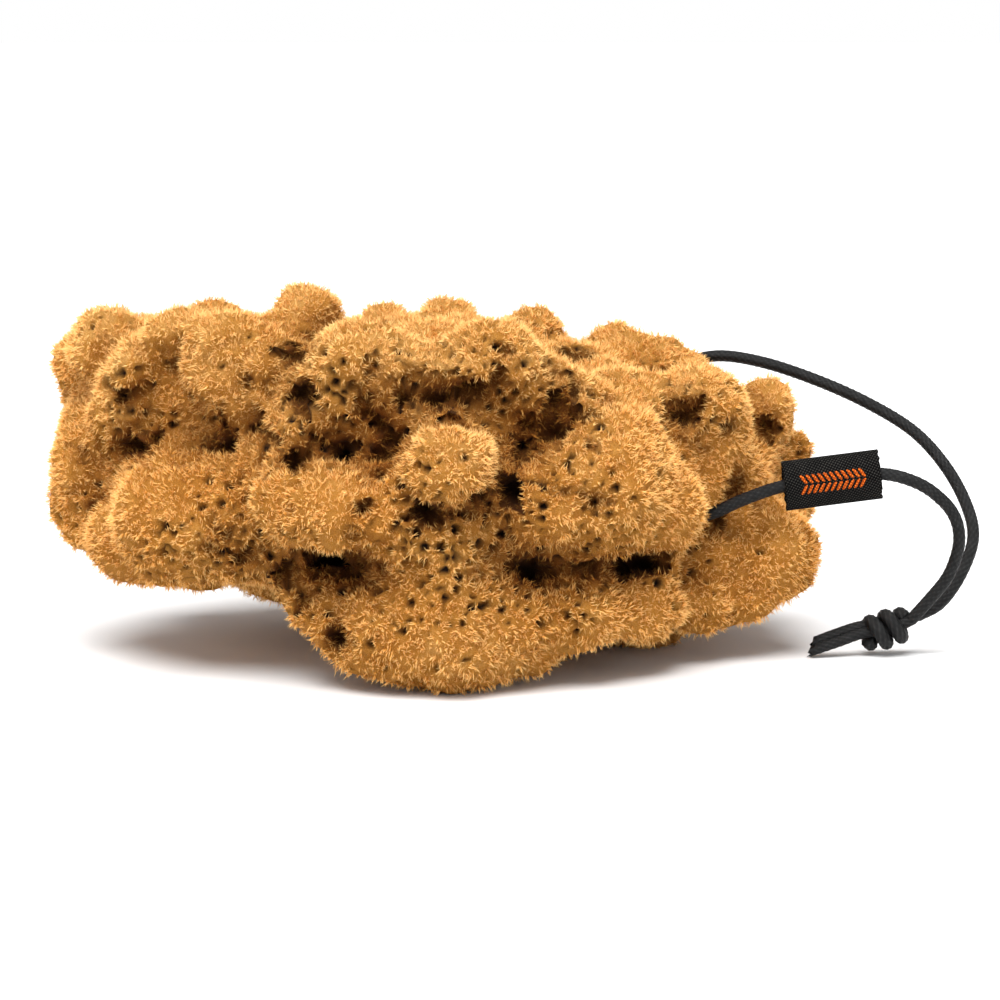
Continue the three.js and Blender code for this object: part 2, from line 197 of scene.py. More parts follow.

# %% [markdown]
# ## The cord's finish
# Waxed braid is nearly black with a soft, uneven shine. The mesh stores how high each corner stands on
# the braid, so one ramp can turn that height into a greyer crown and a blacker valley: a painted highlight
# on the crowns and painted shade in the valleys. A fine noise breaks the shine. Uneven patches turn up on
# every finish of this object, so they are a node group that is made once and placed in each material with
# its own fineness and strength.

# %% Make the group of uneven patches, and the cord's material
def make_patches_group():
    group = bpy.data.node_groups.new("uneven_patches", "ShaderNodeTree")
    for name, start in {"Fineness": 100.0, "Strength": 0.5}.items():
        socket = group.interface.new_socket(name, in_out="INPUT", socket_type="NodeSocketFloat")
        socket.default_value = start
    group.interface.new_socket("Value", in_out="OUTPUT", socket_type="NodeSocketFloat")
    inlet = group.nodes.new("NodeGroupInput")
    outlet = group.nodes.new("NodeGroupOutput")
    place = add_node(group, "ShaderNodeTexCoord")
    patches = add_node(group, "ShaderNodeTexNoise", {
        "Vector": place.outputs["Object"], "Scale": inlet.outputs["Fineness"], "Detail": 3.0})
    centred = add_node(group, "ShaderNodeMath", {
        0: patches.outputs["Fac"], 1: 0.5}, operation="SUBTRACT")
    scaled = add_node(group, "ShaderNodeMath", {
        0: centred.outputs[0], 1: inlet.outputs["Strength"]}, operation="MULTIPLY")
    group.links.new(scaled.outputs[0], outlet.inputs["Value"])
    return group


patches_group = make_patches_group()


def patches(tree, fineness, strength):
    node = add_node(tree, "ShaderNodeGroup", node_tree=patches_group)
    node.inputs["Fineness"].default_value = fineness
    node.inputs["Strength"].default_value = strength
    return node.outputs["Value"]


# Greys by the height on the braid: painted shade in its valleys, a painted highlight on its crowns
BRAID_SHADE_AND_HIGHLIGHT_GREYS = [(0.2, (0.001, 0.001, 0.001)), (0.65, (0.005, 0.005, 0.005)), (1.0, (0.024, 0.024, 0.024))]
# Fineness and strength of the patches of wear and of shine
WAX_WEAR = (500.0, 0.6)
WAX_SHINE = (900.0, 0.8)
WAX_ROUGHNESS = 0.45
WAX_SPECULAR = 0.22
WAX_GRAIN = 5000.0
WAX_GRAIN_DEPTH = 0.2 * MM


def make_waxed_braid():
    material, tree, shader = new_material("waxed_braid", WAX_ROUGHNESS)
    height = add_node(tree, "ShaderNodeAttribute", attribute_name="braid_height").outputs["Fac"]
    # the braid's height picks the grey: painted shade in its valleys, a painted highlight on its crowns
    crown_height_and_wear = add_node(tree, "ShaderNodeMath", {0: height, 1: patches(tree, *WAX_WEAR)}, operation="ADD")
    tree.links.new(add_ramp(tree, crown_height_and_wear.outputs[0], BRAID_SHADE_AND_HIGHLIGHT_GREYS), shader.inputs["Base Color"])
    shine = add_node(tree, "ShaderNodeMath", {
        0: patches(tree, *WAX_SHINE), 1: WAX_ROUGHNESS}, operation="ADD")
    tree.links.new(shine.outputs[0], shader.inputs["Roughness"])
    grain = add_node(tree, "ShaderNodeTexNoise", {"Scale": WAX_GRAIN, "Detail": 2.0})
    add_bump(tree, shader, grain.outputs["Fac"], strength=0.5, depth=WAX_GRAIN_DEPTH)
    shader.inputs["Specular IOR Level"].default_value = WAX_SPECULAR
    return material


waxed_braid = make_waxed_braid()
print("materials so far:", [material.name for material in bpy.data.materials])

# %% [markdown]
# ## The braided cord
# A round braid is two sets of strands that wind opposite ways and pass over and under each other. Strand
# for strand that would take dozens of thin tubes that are never seen apart. One tube is enough if its skin
# rises and falls as the braid does: each corner asks which of the two strands lies on top there, and how
# far it is from that strand's middle.

# %% Sweep a braided strand along a line
BRAID_STRANDS = 8
BRAID_LAY = 1.45 * MM
BRAID_RELIEF = 0.17
CROWN_MEAN, CROWN_SWING = 0.65, 0.35
CORD_SIDES = 26
ANY_SIDE = (0.3, 0.5, 0.8)


def frames_along(line):
    tangents = unit(np.gradient(line, axis=0))
    across = unit(np.cross(tangents[0], ANY_SIDE))
    sideways = []
    for tangent in tangents:
        across = unit(across - tangent * across.dot(tangent))
        sideways.append(across)
    sideways = np.array(sideways)
    return sideways, np.cross(tangents, sideways)


def braid_height(turn, along):
    right = turn * BRAID_STRANDS + along / BRAID_LAY
    left = turn * BRAID_STRANDS - along / BRAID_LAY
    over = np.cos(math.pi * left + math.pi * np.round(right))
    under = np.cos(math.pi * right + math.pi * np.round(left))
    crown_right = np.cos(math.pi * (right - np.round(right))) * (CROWN_MEAN + CROWN_SWING * over)
    crown_left = np.cos(math.pi * (left - np.round(left))) * (CROWN_MEAN - CROWN_SWING * under)
    return np.clip(np.maximum(crown_right, crown_left), 0, 1)


def tube_faces(rings, sides):
    first = np.arange((rings - 1) * sides)
    beside = first - first % sides + (first + 1) % sides
    walls = np.stack([first, beside, beside + sides, first + sides], axis=1).tolist()
    ends = [list(range(sides))[::-1], [len(first) + side for side in range(sides)]]
    return walls, ends


def braided_tube(line, radius, sides):
    sideways, upwards = frames_along(line)
    turn = np.arange(sides) / sides
    along = np.arange(len(line)) * np.linalg.norm(line[1] - line[0])
    height = braid_height(turn[None, :], along[:, None])
    reach = radius * (1 - BRAID_RELIEF + BRAID_RELIEF * height)
    angle = 2 * math.pi * turn[:, None]
    ring = np.cos(angle) * sideways[:, None, :] + np.sin(angle) * upwards[:, None, :]
    points = line[:, None, :] + reach[:, :, None] * ring
    walls, ends = tube_faces(len(line), sides)
    return points.reshape(-1, 3), walls + ends, height.reshape(-1)


cord_points, cord_faces, cord_height = braided_tube(cord_line, CORD_DIAMETER / 2, CORD_SIDES)
cord = new_piece("cord_braid", cord_points, cord_faces, waxed_braid, values={
    "braid_height": cord_height})
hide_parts("cord")
print("cord:", triangle_count(cord), "triangles")

# %% [markdown]
# ## The knot
# Both ends of the loop go through one overhand knot and come out as two short tails, cut off with
# scissors. Seen from the front, two turns of strand cross the knot from its top left to its bottom right.
# A rope solver could pull a real knot tight, but the tight form is known: a strand wound round a core,
# whose ends dive under the turns. So the winding is a helix that gets narrow at both ends, and the core
# and tails are strands of their own.

# %% Wind the knot
KNOT_MIDDLE = np.array((87.2, -4.3, 5.2)) * MM
KNOT_HEAD = np.array((92.0, -4.0, 7.0)) * MM
KNOT_TURNS = 2.75
KNOT_LENGTH = 8.6 * MM
KNOT_WRAP = 2.5 * MM
KNOT_STRAND = 1.45 * MM
KNOT_START = -0.9
KNOT_DIVE = 0.12
KNOT_INNER = 0.35
KNOT_SAMPLES = 240
KNOT_SIDES = 24
KNOT_STEP = 0.3 * MM
TAIL_RADIUS = 1.15 * MM
TAIL_FRAY = 0.35 * MM
TAIL_SLANT = 0.8 * MM
TAIL_FRAYED_RINGS = 5
LOWEST = 0.02 * MM
TAILS = [
    np.array([(93.6, -6.0, 9.4), (91.9, -5.6, 7.3), (87.4, -5.2, 5.3), (82.5, -5.4, 4.6), (77.6, -6.2, 3.1),
              (72.6, -6.8, 1.5)]) * MM,
    np.array([(95.6, -2.2, 8.6), (93.5, -2.3, 7.4), (87.4, -3.4, 6.2), (82.0, -4.4, 5.7), (77.2, -5.2, 4.3),
              (73.0, -5.7, 2.8)]) * MM,
]
FRONT = np.array((0.0, -1.0, 0.0))
KNOT_SEED = 3


def knot_winding():
    axis = unit(KNOT_HEAD - KNOT_MIDDLE)
    side = unit(np.cross(axis, FRONT))
    back = np.cross(axis, side)
    share = np.linspace(0, 1, KNOT_SAMPLES)
    angle = 2 * math.pi * KNOT_TURNS * share + KNOT_START
    dive = np.clip(np.minimum(share, 1 - share) / KNOT_DIVE, 0, 1)
    reach = KNOT_WRAP * (KNOT_INNER + (1 - KNOT_INNER) * dive * dive * (3 - 2 * dive))
    line = (KNOT_MIDDLE + np.outer(KNOT_LENGTH * (share - 0.5), axis)
            + np.outer(reach * np.cos(angle), side) + np.outer(reach * np.sin(angle), back))
    return evenly(line, KNOT_STEP)


def joined(parts):
    points, faces, values, start = [], [], [], 0
    for part_points, part_faces, part_values in parts:
        points.append(part_points)
        values.append(part_values)
        faces += [[corner + start for corner in face] for face in part_faces]
        start += len(part_points)
    return np.vstack(points), faces, np.concatenate(values)


def frayed_tail(route, generator):
    line = smooth_line(route, KNOT_STEP)
    points, faces, height = braided_tube(line, TAIL_RADIUS, KNOT_SIDES)
    last = points[-TAIL_FRAYED_RINGS * KNOT_SIDES:].reshape(TAIL_FRAYED_RINGS, KNOT_SIDES, 3)
    outward = unit(line[-1] - line[-2])
    share = np.linspace(0, 1, TAIL_FRAYED_RINGS)[:, None] ** 2
    ragged = TAIL_FRAY * generator.normal(size=KNOT_SIDES)
    slanted = TAIL_SLANT * unit(last[-1] - line[-1])[:, 2]
    last += (share * (ragged - slanted))[:, :, None] * outward
    return points, faces, height


rng = np.random.default_rng(KNOT_SEED)
knot_parts = [braided_tube(knot_winding(), KNOT_STRAND, KNOT_SIDES)]
for tail in TAILS:
    knot_parts.append(frayed_tail(tail, rng))
knot_points, knot_faces, knot_height = joined(knot_parts)
knot_points[:, 2] = np.maximum(knot_points[:, 2], LOWEST)
knot = new_piece("knot_strands", knot_points, knot_faces, waxed_braid, values={
    "braid_height": knot_height})
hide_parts("knot")
print("knot:", triangle_count(knot), "triangles")

# %% [markdown]
# ## The label's finish
# The label is a black ribbon in satin twill: fine slanted ribs that catch the light. The mesh stores two
# lengths on each corner, along and around the ribbon, so that the ribs follow the cloth round its bends.
# Two waves make the weave: one for the slanted ribs, one for the threads that cross them. The weave's
# height picks the colour, so the ribs carry a painted highlight and the gaps between them painted shade.

# %% Make the satin twill and the coloured thread
TWILL_PITCH = 0.5 * MM
TWILL_DEPTH = 0.08 * MM
TWILL_PATCHES = (700.0, 0.7)
# Which way each wave runs, along and around the ribbon
RIB_COURSE = (0.8, 0.6)
THREAD_COURSE = (-0.5, 0.85)
# Heights of the weave that take the low and the high tone
WEAVE_LOW, WEAVE_HIGH = 0.2, 0.85
RIBBON_ROUGHNESS = 0.6
RIBBON_SPECULAR = 0.05
# The tone of each thread in the weave's gaps and on its ribs: painted shade and a painted highlight
BLACK_THREAD = ((0.0004, 0.0004, 0.0004), (0.036, 0.034, 0.030))
ORANGE_THREAD = ((0.30, 0.045, 0.004), (0.86, 0.19, 0.02))


def wave_of(tree, along, around, course):
    first = add_node(tree, "ShaderNodeMath", {0: along, 1: course[0] / TWILL_PITCH}, operation="MULTIPLY")
    both = add_node(tree, "ShaderNodeMath", {
        0: around, 1: course[1] / TWILL_PITCH, 2: first.outputs[0]}, operation="MULTIPLY_ADD")
    turned = add_node(tree, "ShaderNodeMath", {0: both.outputs[0], 1: 2 * math.pi}, operation="MULTIPLY")
    sine = add_node(tree, "ShaderNodeMath", {0: turned.outputs[0]}, operation="SINE")
    return add_node(tree, "ShaderNodeMath", {
        0: sine.outputs[0], 1: 0.5, 2: 0.5}, operation="MULTIPLY_ADD").outputs[0]


def make_ribbon(name, low, high):
    material, tree, shader = new_material(name, RIBBON_ROUGHNESS)
    along = add_node(tree, "ShaderNodeAttribute", attribute_name="cloth_along").outputs["Fac"]
    around = add_node(tree, "ShaderNodeAttribute", attribute_name="cloth_around").outputs["Fac"]
    ribs = wave_of(tree, along, around, RIB_COURSE)
    threads = wave_of(tree, along, around, THREAD_COURSE)
    weave = add_node(tree, "ShaderNodeMath", {0: ribs, 1: threads}, operation="MULTIPLY")
    lit = add_node(tree, "ShaderNodeMath", {
        0: weave.outputs[0], 1: patches(tree, *TWILL_PATCHES)}, operation="ADD")
    # the weave's height picks the tone: painted shade in the gaps, a painted highlight on the ribs
    colour = add_ramp(tree, lit.outputs[0], [(WEAVE_LOW, low), (WEAVE_HIGH, high)])
    tree.links.new(colour, shader.inputs["Base Color"])
    add_bump(tree, shader, weave.outputs[0], strength=0.8, depth=TWILL_DEPTH)
    shader.inputs["Specular IOR Level"].default_value = RIBBON_SPECULAR
    return material


ribbon_black = make_ribbon("ribbon_black", *BLACK_THREAD)
ribbon_orange = make_ribbon("ribbon_orange", *ORANGE_THREAD)
print("materials so far:", [material.name for material in bpy.data.materials])

# %% [markdown]
# ## The label
# The ribbon is folded round the cord and lies nearly flat: two faces that meet in a fold above and a seam
# below, swollen a little where the cord runs between them. It could be a cloth simulation, but so small a
# ribbon is stiff and keeps its fold. So its section is drawn as a thin lens with a wall, and swept along
# the cord. The cut ends are ragged by a fraction of a thread.

# %% Sweep the label
LABEL_LENGTH = 18.4 * MM
LABEL_HEIGHT = 9.6 * MM
LABEL_BULGE = 1.75 * MM
LABEL_WALL = 0.4 * MM
LABEL_CROWN = 1.4
LABEL_EDGE = 4
LABEL_STATIONS = 64
LABEL_AROUND = 72
LABEL_RAGGED = 0.16 * MM
LABEL_SEED = 11

label_middle = (LABEL_RIGHT + LABEL_LEFT) / 2
label_along = unit(LABEL_RIGHT - LABEL_LEFT)
label_up = unit(np.cross(label_along, FRONT))
label_out = np.cross(label_up, label_along)
label_out = label_out * np.sign(label_out.dot(FRONT))


def label_half_thickness(rise):
    return LABEL_WALL + (LABEL_BULGE - LABEL_WALL) * np.clip(1 - rise ** 2, 0, 1) ** LABEL_CROWN


def label_place(along, rise, out):
    return (label_middle + np.multiply.outer(along, label_along) + np.multiply.outer(rise, label_up)
            + np.multiply.outer(out, label_out))


def label_loop(inset):
    angle = 2 * math.pi * np.arange(LABEL_AROUND) / LABEL_AROUND - math.pi / 2
    rise = np.sin(angle)
    face = np.sign(np.cos(angle)) * np.minimum(1, np.abs(np.cos(angle)) * LABEL_EDGE)
    half = label_half_thickness(rise) - inset
    return rise * (LABEL_HEIGHT / 2 - inset), face * half


rng = np.random.default_rng(LABEL_SEED)
stations = np.linspace(-LABEL_LENGTH / 2, LABEL_LENGTH / 2, LABEL_STATIONS)
loops = []
for inset in (0.0, LABEL_WALL):
    rise, out = label_loop(inset)
    along = np.repeat(stations[:, None], LABEL_AROUND, axis=1)
    along[[0, -1]] += rng.uniform(-LABEL_RAGGED, LABEL_RAGGED, (2, LABEL_AROUND))
    loops.append(label_place(along, rise, out))
outer, inner = loops
label_points = np.concatenate([outer.reshape(-1, 3), inner.reshape(-1, 3)])
inner_start = LABEL_STATIONS * LABEL_AROUND
last_ring = inner_start - LABEL_AROUND
outer_walls, _ = tube_faces(LABEL_STATIONS, LABEL_AROUND)
label_faces = outer_walls + [[inner_start + corner for corner in face[::-1]] for face in outer_walls]
for step in range(LABEL_AROUND):
    beside = (step + 1) % LABEL_AROUND
    label_faces.append([beside, step, inner_start + step, inner_start + beside])
    label_faces.append([last_ring + step, last_ring + beside,
                        inner_start + last_ring + beside, inner_start + last_ring + step])
around_lengths = np.concatenate([[0], np.cumsum(np.linalg.norm(np.diff(outer[0], axis=0), axis=1))])
label = new_piece("label_ribbon", label_points, label_faces, ribbon_black, values={
    "cloth_along": np.tile(np.repeat(stations, LABEL_AROUND), 2),
    "cloth_around": np.tile(around_lengths, 2 * LABEL_STATIONS)})
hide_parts("label")
print("label:", triangle_count(label), "triangles")

# %% [markdown]
# ## The label's woven pattern
# A herringbone band in orange thread runs along the ribbon's face, as ribbon makers weave it: slanted
# stitches in two rows that meet in points. It could be painted in the material, but thread stands up from
# the cloth, so each stitch is a small closed mound laid on the ribbon.

# %% Lay the stitches
STITCH_COUNT = 11
STITCH_SPACING = 1.12 * MM
STITCH_REACH = 1.75 * MM
STITCH_WIDTH = 0.66 * MM
STITCH_RISE = 0.16 * MM
STITCH_SLANT = 1.0 * MM
STITCH_CUTS = 9
STITCH_SIDES = 8
STITCH_GAP = 0.12 * MM
STITCH_TAPER, STITCH_END = 9, 0.25


def stitch(start, side):
    share = np.linspace(0, 1, STITCH_CUTS)
    along = start + STITCH_SLANT * (1 - share)
    rise = side * (STITCH_GAP + STITCH_REACH * share)
    half = STITCH_WIDTH / 2 * np.clip(np.minimum(share, 1 - share) * STITCH_TAPER, STITCH_END, 1)
    angle = 2 * math.pi * np.arange(STITCH_SIDES) / STITCH_SIDES
    spread = half[:, None] * np.cos(angle)
    height = STITCH_RISE * (half / half.max())[:, None] * np.sin(angle)
    cloth = label_half_thickness(rise / (LABEL_HEIGHT / 2))
    along = along[:, None] + spread
    points = label_place(along, np.repeat(rise[:, None], STITCH_SIDES, 1), cloth[:, None] + height)
    walls, ends = tube_faces(STITCH_CUTS, STITCH_SIDES)
    faces = [face[::-1] if side < 0 else face for face in walls + ends]
    return points.reshape(-1, 3), faces, along.reshape(-1)


first_stitch = -STITCH_SPACING * (STITCH_COUNT - 1) / 2 - STITCH_SLANT / 2
stitch_starts = [first_stitch + STITCH_SPACING * n for n in range(STITCH_COUNT)]
stitches = [stitch(start, side) for start in stitch_starts for side in (-1, 1)]
stitch_points, stitch_faces, stitch_along = joined(stitches)
stitch_around = (stitch_points - label_middle) @ label_up
pattern = new_piece("label_stitches", stitch_points, stitch_faces, ribbon_orange, values={
    "cloth_along": stitch_along, "cloth_around": stitch_around})
print("stitches:", triangle_count(pattern), "triangles")

# %% [markdown]
# ## The cord's ends
# The cord leaves the knot and comes back to it, so the knot is its far end too.

# %% [markdown]
# ## The sponge's skin
# A bath sponge is a skeleton of springy fibres. Its surface is a felt of fine tufts over rounded lumps,
# with large holes that the water left by and many pores. The imported solid has its lumps and pits, so the
# skin that the tufts grow from starts as a copy of that solid with far smaller faces. Weld closes the
# copy, Subdivision rounds its facets, Remesh gives even faces and Smooth takes off the last steps.

# %% Make a fine skin from the solid
SKIN_CELL = 0.85 * MM
WELD_GAP = 0.01 * MM
SMOOTH_ROUNDS = 5


def fine_skin(node):
    rough = bpy.data.objects.new("skin", node.data.copy())
    scene.collection.objects.link(rough)
    weld = rough.modifiers.new("weld", "WELD")
    weld.merge_threshold = WELD_GAP
    rounded = rough.modifiers.new("rounded", "SUBSURF")
    rounded.levels = 1
    cells = rough.modifiers.new("cells", "REMESH")
    cells.mode = "VOXEL"
    cells.voxel_size = SKIN_CELL
    smooth = rough.modifiers.new("smooth", "SMOOTH")
    smooth.iterations = SMOOTH_ROUNDS
    done = rough.evaluated_get(bpy.context.evaluated_depsgraph_get()).to_mesh()
    points = np.empty(3 * len(done.vertices), np.float32)
    done.vertices.foreach_get("co", points)
    normals = np.empty_like(points)
    done.vertices.foreach_get("normal", normals)
    faces = np.array([face.vertices[:] for face in done.polygons])
    bpy.data.objects.remove(rough)
    return points.reshape(-1, 3).astype(float), normals.reshape(-1, 3).astype(float), faces


skin, skin_normals, skin_faces = fine_skin(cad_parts["sponge"])
print("skin:", len(skin), "corners,", len(skin_faces), "faces")

# %% Give back what the rounding took off
GAP_ROUNDS = 12


def neighbour_mean(values, faces, rounds):
    edges = np.concatenate([faces[:, [n, (n + 1) % faces.shape[1]]] for n in range(faces.shape[1])])
    count = np.bincount(edges.ravel(), minlength=len(values)) + 1.0
    for _ in range(rounds):
        total = values.copy()
        np.add.at(total, edges[:, 0], values[edges[:, 1]])
        np.add.at(total, edges[:, 1], values[edges[:, 0]])
        values = total / count
    return values


def gap_to_solid(points, normals, node):
    corners = [vertex.co for vertex in node.data.vertices]
    tree = BVHTree.FromPolygons(corners, [face.vertices[:] for face in node.data.polygons])
    nearest = np.array([tree.find_nearest(point)[0] for point in points])
    return ((nearest - points) * normals).sum(axis=1)


gap = neighbour_mean(gap_to_solid(skin, skin_normals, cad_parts["sponge"]), skin_faces, GAP_ROUNDS)
skin = skin + skin_normals * gap[:, None]
print("the rounding took off", round(gap.mean() / MM, 2), "mm on average")

# %% [markdown]
# ## Lumps and ripples
# The skin now gets what is too fine for the solid. The solid's pits are eased, because real ones are wide
# and soft, but not where the cord passes. The skin sinks a little, to leave the tufts room. Two noises
# swell it into small lumps and ripples, its left end swells further, and a third noise pushes it about
# sideways, so that no pit stays round. A displacement map could do the same in the shader, but then the
# model itself would stay smooth, so the corners are really moved.

# %% Swell and bend the skin
SKIN_SINK = 0.25 * MM
LUMP_SIZE, LUMP_RISE = 8 * MM, 0.5 * MM
RIPPLE_SIZE, RIPPLE_RISE = 3.4 * MM, 0.35 * MM
BEND_SIZE, BEND_REACH = 5.0 * MM, 1.0 * MM
LEFT_FROM, LEFT_RUN, LEFT_RISE = -22 * MM, 30 * MM, 1.4 * MM
SOFTEN_ROUNDS = 40
SOFTEN_FROM = 0.4 * MM
SOFTEN_EDGE_ROUNDS = 3
CORD_ROOM = 4 * MM
FLOOR_GAP = 0.25 * MM
AXIS_SHIFT = 10


def noise_at(points, size, shift=0.0):
    offset = Vector((shift, shift, shift))
    return np.array([noise.noise(Vector(point) / size + offset) for point in points])


def noise_vectors(points, size, shift):
    return np.stack([noise_at(points, size, shift + AXIS_SHIFT * axis) for axis in range(3)], axis=1)


def tree_of(places):
    tree = KDTree(len(places))
    for i, place in enumerate(places):
        tree.insert(place, i)
    tree.balance()
    return tree


def soften_pits(points, normals):
    relaxed = [neighbour_mean(points[:, axis], skin_faces, SOFTEN_ROUNDS) for axis in range(3)]
    relaxed = np.stack(relaxed, axis=1)
    sunk = ((relaxed - points) * normals).sum(axis=1)
    share = np.clip((sunk - SOFTEN_FROM) / SOFTEN_FROM, 0, 1)
    line = tree_of(cord_line)
    share = share * np.array([line.find(point)[2] > CORD_ROOM for point in points])
    share = neighbour_mean(share, skin_faces, SOFTEN_EDGE_ROUNDS)
    return points + share[:, None] * (relaxed - points)


skin = soften_pits(skin, skin_normals)
swell = LUMP_RISE * noise_at(skin, LUMP_SIZE) + RIPPLE_RISE * noise_at(skin, RIPPLE_SIZE, shift=4.0)
swell = swell + LEFT_RISE * np.clip((LEFT_FROM - skin[:, 0]) / LEFT_RUN, 0, 1)
bend = BEND_REACH * noise_vectors(skin, BEND_SIZE, shift=50.0)
skin = skin + bend + skin_normals * (swell - SKIN_SINK)[:, None]
skin[:, 2] = np.maximum(skin[:, 2], FLOOR_GAP)
print("skin moved by up to", round(np.abs(swell).max() / MM, 2), "mm along and",
      round(np.linalg.norm(bend, axis=1).max() / MM, 2), "mm about")

# %% [markdown]
# ## Holes and clefts of the front
# The front has some fifty holes that can be told apart, and broad dark clefts between lumps that swell.
# Each is put where it lies, by its place seen from the front and half its width and height. A ray from the
# front finds the skin there, and the corners round that place are pressed in. A noise bends the rim, so
# that no two holes look alike. Cutting them with booleans would leave sharp rims, which a sponge has
# nowhere.

# %% List the swells, the clefts and the holes
# Each row: x, z, half width, half height and rise or depth, in mm
SWELLS = [
    (-47, 31, 20, 14, 2.6), (-30, 30, 10, 9, 1.2), (-60, 56, 3.2, 3.4, 1.2), (-57, 59, 3.2, 3.4, 1.5),
    (-54, 62, 3.4, 3.4, 1.8), (-51, 64.5, 3.6, 3.4, 1.6), (-40, 66, 8, 5, 1.6), (-22, 68, 9, 6, 1.6),
    (-8, 62, 12, 7, 1.2), (10, 62, 12, 7, 1.0), (3, 42, 9, 8, 1.6), (2, 14, 18, 12, 1.4),
    (30, 36, 14, 11, 1.2), (47, 51, 4.5, 4.5, 1.8), (3, 29, 10, 5.5, 2.6),
]
CLEFTS = [
    (-54, 44, 14, 5, 1.7), (-65, 36, 4, 7, 2), (-60, 41, 4, 4, 1.6), (-63, 60, 3, 3.5, 1),
    (-34, 46, 6, 6, 1.8), (-29, 38, 3, 8, 1.5), (-20, 45, 12, 3, 1.7), (-27, 55, 5, 5, 1.5),
    (3, 55, 14, 3.4, 2.2), (17, 47, 6, 7, 2), (22, 52, 6, 6, 1), (14, 40, 3, 7, 1.7),
    (33, 22.5, 10, 2.4, 2.4), (-24, 22, 9, 5, 1.8), (-38, 26, 7, 6, 1.1), (17, 21, 6, 3.4, 1.8),
    (48, 43, 3.5, 8, 0.7), (60, 28, 5, 6, 1.5), (52, 13, 6, 5, 1.2), (-9, 48, 5, 6, 1.2),
    (11, 10, 2.5, 7, 0.9), (54, 47, 4, 3, 0.9),
]
HOLES = [
    (-1, 35, 2.5, 2.0, 5), (8, 37, 1.7, 1.5, 4), (-12, 36, 1.6, 1.4, 3), (7, 55, 3.0, 1.9, 4),
    (0, 54.5, 2.8, 1.6, 4), (11, 57.5, 2.0, 1.7, 2.5), (-6, 55, 1.8, 1.4, 3), (22, 48.5, 3.6, 1.8, 4),
    (16, 45, 1.8, 3.0, 3), (22, 54, 1.8, 1.8, 3), (26, 56, 1.7, 1.6, 3), (22, 59, 1.4, 1.6, 2),
    (27, 51, 2.2, 1.2, 3), (28, 23, 2.6, 1.2, 3), (38, 21.5, 4.4, 1.0, 4), (-19, 22, 3.4, 2.2, 4),
    (-27, 21, 2.4, 2.8, 4), (-38, 28, 1.8, 1.6, 2.5), (-36, 24, 1.9, 1.5, 2.5), (-41, 31, 1.3, 1.6, 2),
    (-42, 26, 1.4, 1.3, 2), (-57, 42.5, 3.6, 1.8, 3), (-42, 44, 2.2, 1.6, 3), (-33, 47, 2.2, 1.5, 3),
    (-59, 52, 1.3, 1.8, 1.5), (-56, 53.5, 1.2, 1.2, 1.5), (-49, 58, 1.6, 1.4, 2), (-24.5, 54, 1.8, 1.8, 3),
    (-22, 52, 1.8, 1.3, 3), (-26, 61, 2.2, 1.8, 2.5), (-23, 64, 1.3, 1.1, 2), (-26, 43, 1.9, 1.9, 4),
    (-22, 45.5, 1.5, 1.2, 3), (-9, 44, 3.2, 1.5, 3), (-14, 56.5, 1.6, 1.5, 2.5), (-13, 53, 1.7, 2.4, 2.5),
    (-11, 60.5, 2.2, 1.6, 2.5), (-4, 59, 1.5, 1.4, 2), (-10, 49, 1.7, 1.4, 3), (-8, 47, 1.7, 1.4, 3),
    (-10, 41, 1.3, 1.2, 2.5), (13, 63, 1.9, 1.3, 2), (55, 47, 1.8, 1.4, 2.5), (29, 37, 1.9, 1.5, 2.5),
    (29, 46, 1.4, 1.0, 2), (32, 53, 1.9, 1.3, 2), (-35, 56, 1.5, 1.3, 2), (-14, 31, 1.4, 1.4, 2),
    (-18, 10, 2.2, 2.0, 3), (17, 49, 1.8, 1.6, 3),
]
print(len(SWELLS), "swells,", len(CLEFTS), "clefts and", len(HOLES), "holes")

# %% Press them in
RIM_NOISE_SIZE = 2.6 * MM
RIM_NOISE = 0.8
FRONT_START = -0.2
INWARD_LEAN = 0.5
REACH_IN_DEPTH = 9 * MM
FACING = 0.2
PRESS_FLAT = 1.3


def press_front(points, normals, rows, way):
    tree = BVHTree.FromPolygons(points.tolist(), skin_faces.tolist())
    rim = 1 + RIM_NOISE * noise_at(points, RIM_NOISE_SIZE, shift=33.0)
    moved = points.copy()
    pressed = np.zeros(len(points))
    for row in rows:
        x, z, half_width, half_height, depth = np.array(row) * MM
        place, normal, _, _ = tree.ray_cast(Vector((x, FRONT_START, z)), Vector((0, 1, 0)))
        inward = unit(np.array((0, INWARD_LEAN, 0)) - np.array(normal))
        away = points - np.array(place)
        flat = np.hypot(away[:, 0] / half_width, away[:, 2] / half_height) * rim
        near = (np.abs(away[:, 1]) < REACH_IN_DEPTH) & (normals @ inward < FACING)
        goal = depth * np.clip(PRESS_FLAT - flat ** 2, 0, 1) * near
        moved += way * np.outer(np.maximum(goal - pressed, 0), inward)
        pressed = np.maximum(pressed, goal)
    return moved, pressed


skin, _ = press_front(skin, skin_normals, SWELLS, -1)
skin, _ = press_front(skin, skin_normals, CLEFTS, 1)
skin, hole_depth = press_front(skin, skin_normals, HOLES, 1)
skin[:, 2] = np.maximum(skin[:, 2], FLOOR_GAP)
print("pressed in by up to", round(hole_depth.max() / MM, 1), "mm")

# %% [markdown]
# ## How deep a place lies
# Holes and clefts lie in shade, which is painted into their colour here too, and few tufts grow in
# them. To know how deep a place lies, a fan of rays leaves each corner and meets the sponge again or not.
# The share of rays that meet it soon is the corner's hollowness, from 0 in the open to 1 at the bottom of a
# hole. Longer rays tell the broad valleys between the lumps, which get painted shade. Blender's BVH tree
# finds such meetings fast.

